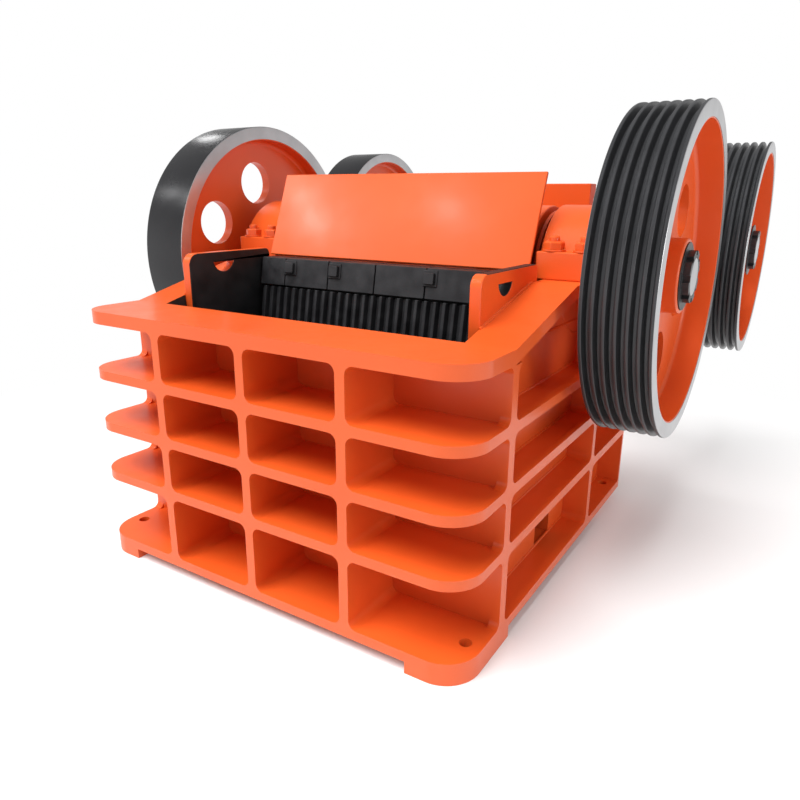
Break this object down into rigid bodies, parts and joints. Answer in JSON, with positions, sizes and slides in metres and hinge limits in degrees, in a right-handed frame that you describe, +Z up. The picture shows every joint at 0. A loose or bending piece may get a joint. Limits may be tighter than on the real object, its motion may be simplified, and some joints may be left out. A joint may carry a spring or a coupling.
{
  "type": "jaw crusher",
  "caption": "Ribbed box-frame jaw crusher with toothed jaws, swing jaw on an eccentric shaft, and grooved and plain flywheels.",
  "frame": {"origin": "on the floor, at the centre of the four foundation bolts", "axes": "+X to the right seen from the feed side, +Y from the front wall to the rear, +Z up"},
  "size_m": [2.064, 2.444, 1.464],
  "materials": {
    "orange_paint": "gloss",
    "black_paint": "satin",
    "dark_cast_iron": "semi-matt",
    "manganese_steel": "rough",
    "bright_steel": "machined"
  },
  "bodies": {
    "frame": {"base_flange_front": "orange_paint", "base_flange_right": "orange_paint", "base_flange_left": "orange_paint", "base_flange_rear": "orange_paint", "front_wall": "orange_paint", "rear_wall": "orange_paint", "right_side_wall": "orange_paint", "left_side_wall": "orange_paint", "front_shelves": "orange_paint", "right_side_shelves": "orange_paint", "left_side_shelves": "orange_paint", "front_ribs": "orange_paint", "side_ribs": "orange_paint", "top_flange_front": "orange_paint", "top_plate_right": "orange_paint", "top_plate_left": "orange_paint", "top_plate_rear": "orange_paint", "bearing_cap_right": "orange_paint", "bearing_cap_left": "orange_paint", "bearing_saddles": "orange_paint", "fixed_jaw_plate": "manganese_steel", "fixed_jaw_backing": "orange_paint", "cheek_plate_right": "orange_paint", "cheek_plate_left": "orange_paint", "toggle_seat": "orange_paint", "toggle_plate": "dark_cast_iron", "rear_guard_plate": "orange_paint", "rear_arm_right": "orange_paint", "rear_arm_left": "orange_paint", "rear_cross_tie": "orange_paint", "rear_bearing_right": "orange_paint", "rear_bearing_left": "orange_paint"},
    "swing_jaw": {"swing_jaw_body": "orange_paint", "swing_jaw_plate": "manganese_steel", "swing_jaw_blocks": "manganese_steel", "guard_plate": "orange_paint", "guard_brackets": "orange_paint"},
    "main_shaft": {"eccentric_shaft": "bright_steel", "grooved_flywheel": "dark_cast_iron", "plain_flywheel": "dark_cast_iron", "shaft_lock_nuts": "black_paint", "shaft_seal_rings": "bright_steel"},
    "rear_wheelset": {"rear_shaft": "bright_steel", "rear_grooved_flywheel": "dark_cast_iron", "rear_plain_flywheel": "dark_cast_iron", "rear_lock_nuts": "black_paint"}
  },
  "joints": [
    {"name": "main_shaft_turn", "type": "hinge", "parent": "frame", "child": "main_shaft", "pos_m": [0, 0.2405, 0.962], "axis": [1, 0, 0], "continuous": true},
    {"name": "rear_shaft_turn", "type": "hinge", "parent": "frame", "child": "rear_wheelset", "pos_m": [0, 1.2715, 0.986], "axis": [1, 0, 0], "continuous": true},
    {"name": "swing_jaw_swing", "type": "hinge", "parent": "frame", "child": "swing_jaw", "pos_m": [0, 0.2405, 0.962], "axis": [1, 0, 0], "range_deg": [-0.6, 0.6]}
  ]
}
